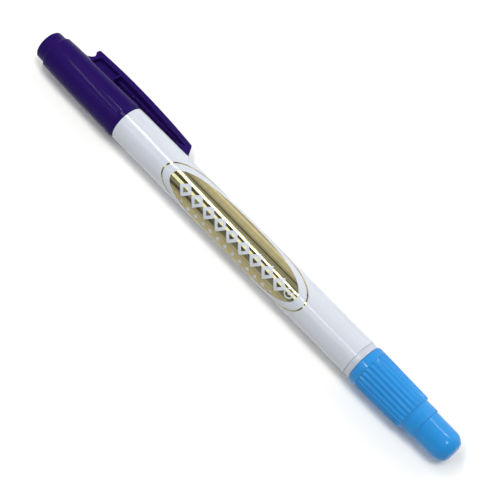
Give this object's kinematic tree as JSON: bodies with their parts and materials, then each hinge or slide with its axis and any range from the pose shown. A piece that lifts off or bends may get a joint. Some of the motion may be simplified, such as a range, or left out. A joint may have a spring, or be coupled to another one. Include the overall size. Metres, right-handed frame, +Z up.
{
  "type": "two-ended fabric marking pen",
  "caption": "Slim two-ended fibre-tip marking pen with a clipped violet cap, a ribbed round-nosed blue cap and a white barrel with a gold oval.",
  "frame": {"origin": "on the table, under the middle of the pen's bounding box; the pen lies on its side", "axes": "+X along the pen from the violet end to the blue end, +Y to the side that the clip is on, +Z up"},
  "size_m": [0.138, 0.0138, 0.01],
  "materials": {
    "white_plastic": "moulded white gloss plastic, smooth",
    "collar_plastic": "slightly translucent white plastic",
    "purple_plastic": "moulded dark violet gloss plastic",
    "blue_plastic": "moulded sky-blue plastic, soft gloss",
    "natural_plastic": "unpigmented moulded plastic",
    "purple_fibre": "bonded fibre, wet with violet ink",
    "blue_fibre": "bonded fibre, wet with blue ink",
    "clear_film": "thin clear plastic film",
    "gold_foil": "hot-stamped pale gold foil, mirror bright"
  },
  "bodies": {
    "barrel_body": {"barrel": "white_plastic", "divider_plug": "natural_plastic", "purple_reservoir": "purple_fibre", "purple_reservoir_film": "clear_film", "purple_nib_holder": "natural_plastic", "purple_nib": "purple_fibre", "blue_reservoir": "blue_fibre", "blue_reservoir_film": "clear_film", "blue_nib_holder": "collar_plastic", "blue_nib": "blue_fibre"},
    "purple_cap_seal": {"purple_inner_cap": "natural_plastic"},
    "purple_cap": {"purple_cap_shell": "purple_plastic"},
    "clip_arm": {"pocket_clip": "purple_plastic"},
    "blue_cap_seal": {"blue_inner_cap": "natural_plastic"},
    "blue_cap": {"blue_cap_shell": "blue_plastic"}
  },
  "joints": [
    {"name": "purple_cap_pull", "type": "slide", "parent": "barrel_body", "child": "purple_cap_seal", "axis": [-1, 0, 0], "range_m": [0, 0.04]},
    {"name": "purple_cap_turn", "type": "hinge", "parent": "purple_cap_seal", "child": "purple_cap", "pos_m": [-0.055, -0.00194, 0.005], "axis": [-1, 0, 0], "continuous": true},
    {"name": "clip_flex", "type": "hinge", "parent": "purple_cap", "child": "clip_arm", "pos_m": [-0.0505, 0.0055, 0.00223], "axis": [0, 0.3489, 0.9372], "range_deg": [0, 4], "stiffness_Nm_per_rad": 1},
    {"name": "blue_cap_pull", "type": "slide", "parent": "barrel_body", "child": "blue_cap_seal", "axis": [1, 0, 0], "range_m": [0, 0.04]},
    {"name": "blue_cap_turn", "type": "hinge", "parent": "blue_cap_seal", "child": "blue_cap", "pos_m": [0.055, -0.00194, 0.005], "axis": [1, 0, 0], "continuous": true}
  ]
}
